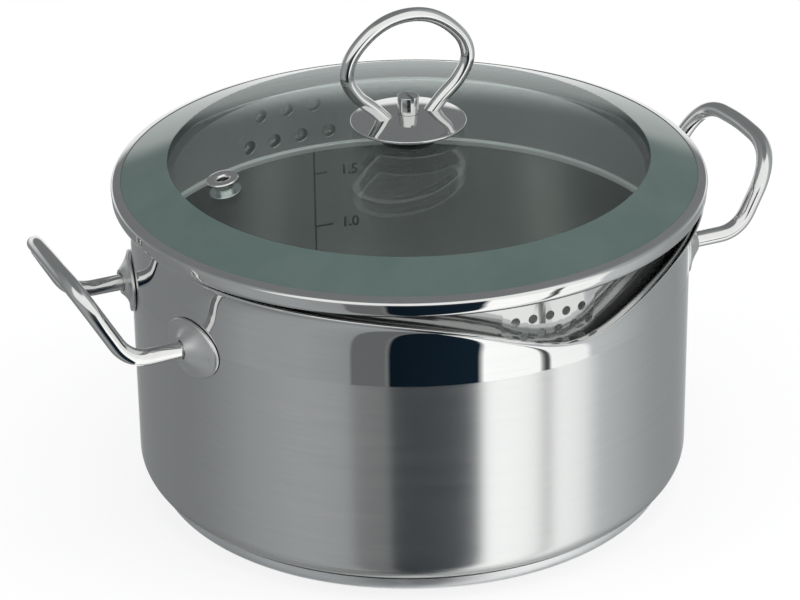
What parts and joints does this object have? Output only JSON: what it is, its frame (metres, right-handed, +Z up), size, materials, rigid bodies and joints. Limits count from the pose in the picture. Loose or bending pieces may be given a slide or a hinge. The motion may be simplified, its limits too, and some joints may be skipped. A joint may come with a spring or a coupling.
{
  "type": "pasta pot",
  "caption": "Round stainless steel pasta pot with side loop handles, a pouring spout and a glass strainer lid that turns to choose its drain holes.",
  "frame": {"origin": "centre of the base's flat underside", "axes": "+X through the right side handle as the picture shows it, -Y towards the spout's side, +Z up"},
  "size_m": [0.248, 0.1914, 0.1615],
  "materials": {
    "brushed_wall": "brushed round the wall, mirror polished above",
    "brushed_base": "satin",
    "core_aluminium": "plain",
    "polished_rod": "polished stainless steel",
    "satin_lug": "satin",
    "polished_sheet": "polished stainless steel",
    "lid_glass": "clear, with a satin grey-green shoulder",
    "silicone": "matt"
  },
  "bodies": {
    "pot": {"pot_body": "brushed_wall", "base_capsule": "brushed_base", "base_core": "core_aluminium", "handle_right": "polished_rod", "handle_left": "polished_rod", "handle_lug_right_rear": "satin_lug", "handle_lug_right_front": "satin_lug", "handle_lug_left_rear": "satin_lug", "handle_lug_left_front": "satin_lug"},
    "lid_centre": {"knob_screw": "polished_rod", "knob_barrel_nut": "polished_rod", "knob_washer": "polished_sheet", "knob_seal_upper": "silicone", "knob_seal_lower": "silicone"},
    "lid": {"lid_glass": "lid_glass", "lid_rim_band": "polished_sheet", "strainer_ring": "polished_sheet", "vent_eyelet": "polished_sheet", "knob_disc": "polished_sheet", "knob_loop": "polished_rod"}
  },
  "joints": [
    {"name": "lid_lift", "type": "slide", "parent": "pot", "child": "lid_centre", "axis": [0, 0, 1], "range_m": [0, 0.12]},
    {"name": "lid_turn", "type": "hinge", "parent": "lid_centre", "child": "lid", "pos_m": [0, 0, 0.117], "axis": [0, 0, 1], "continuous": true}
  ]
}
